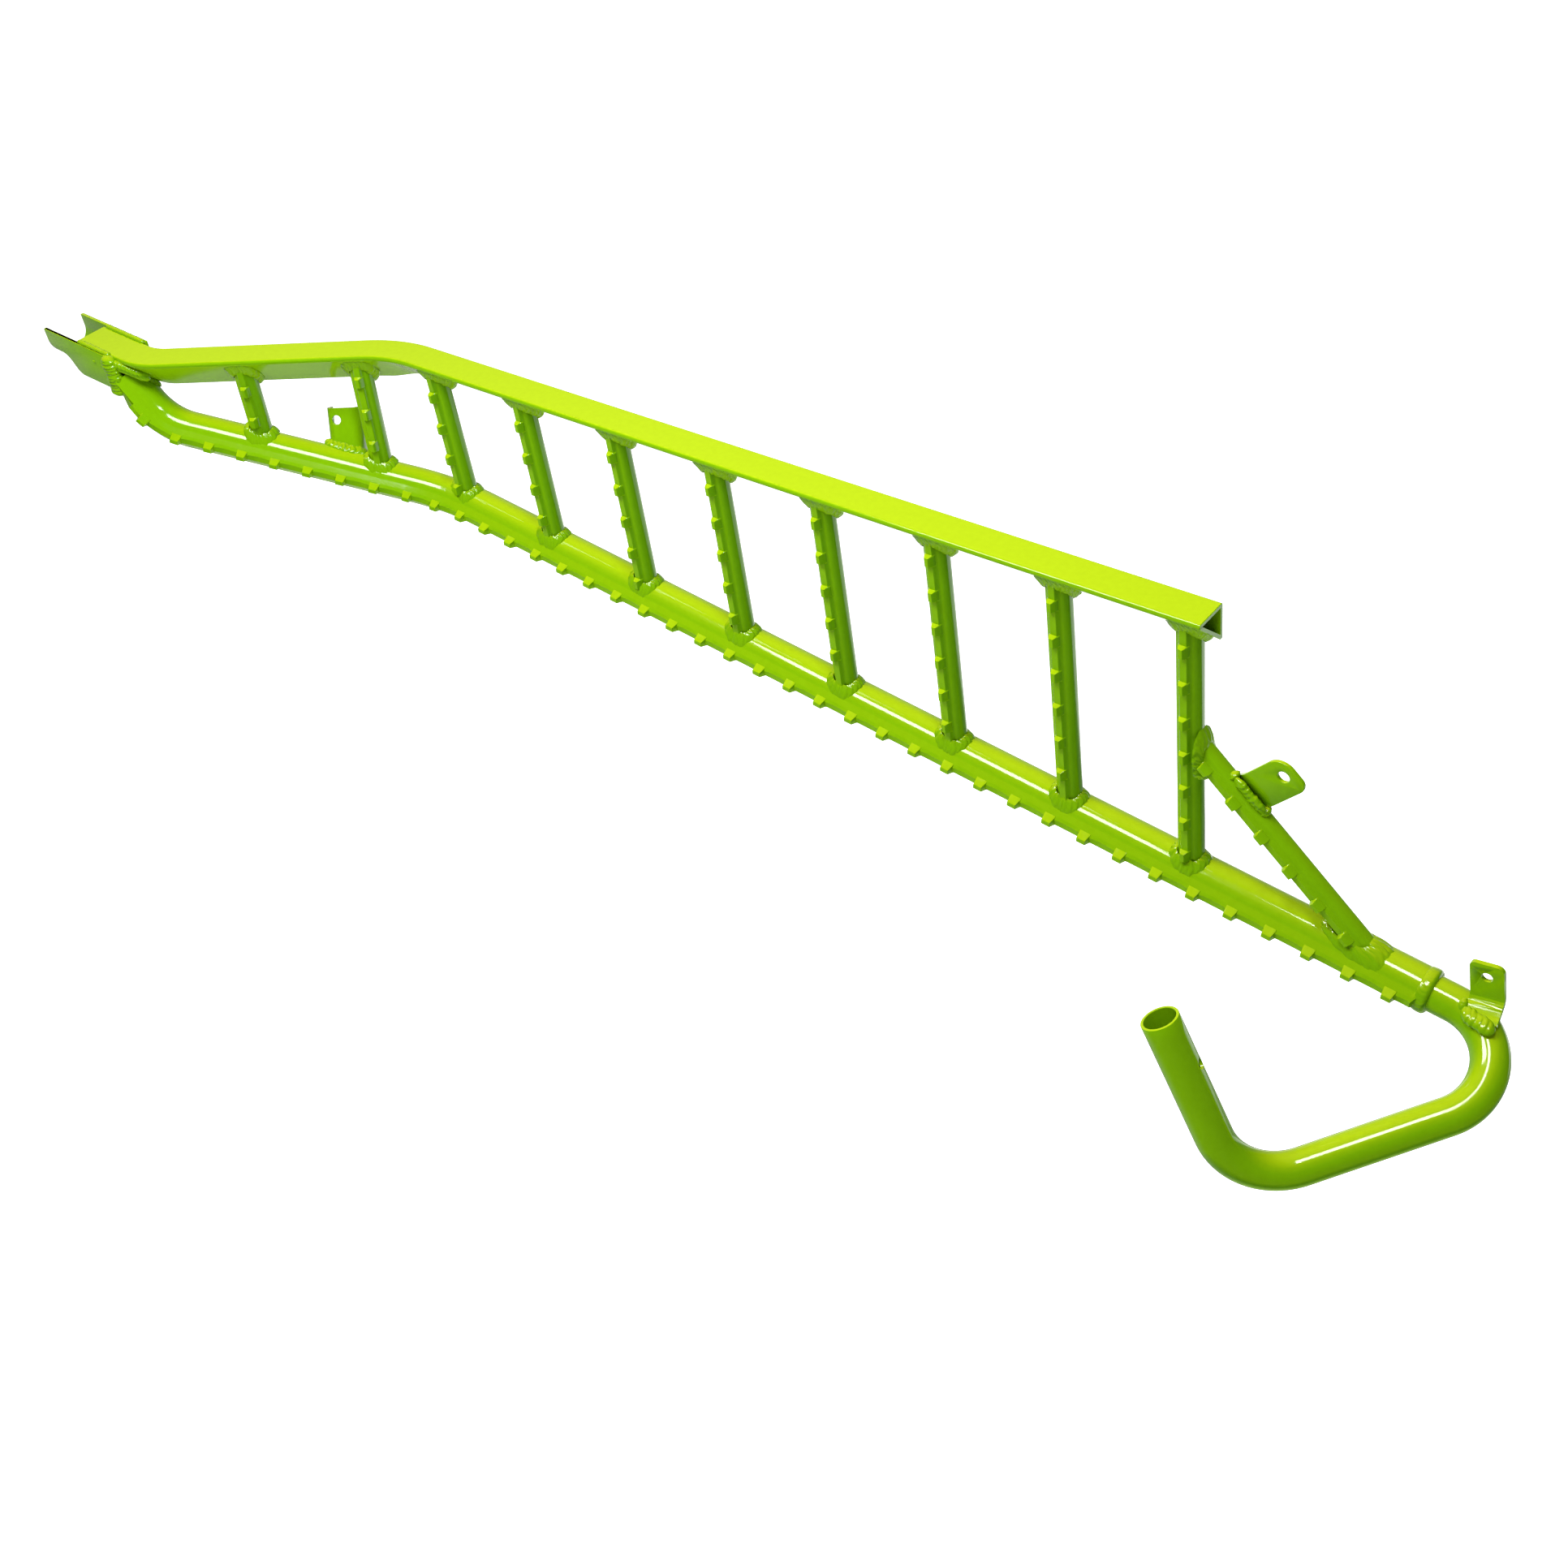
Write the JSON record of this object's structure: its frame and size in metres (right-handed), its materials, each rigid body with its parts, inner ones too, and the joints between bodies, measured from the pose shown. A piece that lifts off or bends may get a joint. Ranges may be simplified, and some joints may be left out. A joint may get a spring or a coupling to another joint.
{
  "type": "side foot rail",
  "caption": "Welded ladder-shaped foot rail: a flat-topped and a round rail joined by toothed rungs, with a rear saddle, a diagonal brace and a bent tube toe loop.",
  "frame": {"origin": "on the inner rail's flat face, 20 mm behind its open front end, on the rail's centre line", "axes": "+X from the rear saddle towards the front toe loop along the main stretch of the inner rail; +Z out of the inner rail's flat face, away from the outer rail; the teeth point towards -Y"},
  "size_m": [1.1311, 0.1648, 0.2766],
  "materials": {
    "paint": "gloss",
    "weld_paint": "gloss"
  },
  "bodies": {
    "root": {"brace_tab": "paint", "clip_bracket": "paint", "diagonal_brace": "paint", "inner_rail": "paint", "outer_rail": "paint", "rear_saddle": "paint", "rung_01": "paint", "rung_02": "paint", "rung_03": "paint", "rung_04": "paint", "rung_05": "paint", "rung_06": "paint", "rung_07": "paint", "rung_08": "paint", "rung_09": "paint", "rung_10": "paint", "toe_loop": "paint", "toe_loop_tab": "paint", "weld_brace_foot": "weld_paint", "weld_brace_tab": "weld_paint", "weld_brace_top": "weld_paint", "weld_clip": "weld_paint", "weld_rail_join": "weld_paint", "weld_rung_01_foot": "weld_paint", "weld_rung_01_top": "weld_paint", "weld_rung_02_foot": "weld_paint", "weld_rung_02_top": "weld_paint", "weld_rung_03_foot": "weld_paint", "weld_rung_03_top": "weld_paint", "weld_rung_04_foot": "weld_paint", "weld_rung_04_top": "weld_paint", "weld_rung_05_foot": "weld_paint", "weld_rung_05_top": "weld_paint", "weld_rung_06_foot": "weld_paint", "weld_rung_06_top": "weld_paint", "weld_rung_07_foot": "weld_paint", "weld_rung_07_top": "weld_paint", "weld_rung_08_foot": "weld_paint", "weld_rung_08_top": "weld_paint", "weld_rung_09_foot": "weld_paint", "weld_rung_09_top": "weld_paint", "weld_rung_10_foot": "weld_paint", "weld_rung_10_top": "weld_paint", "weld_saddle_far": "weld_paint", "weld_saddle_near": "weld_paint", "weld_saddle_side": "weld_paint", "weld_sleeve": "weld_paint", "weld_toe_loop_tab": "weld_paint"}
  },
  "joints": []
}
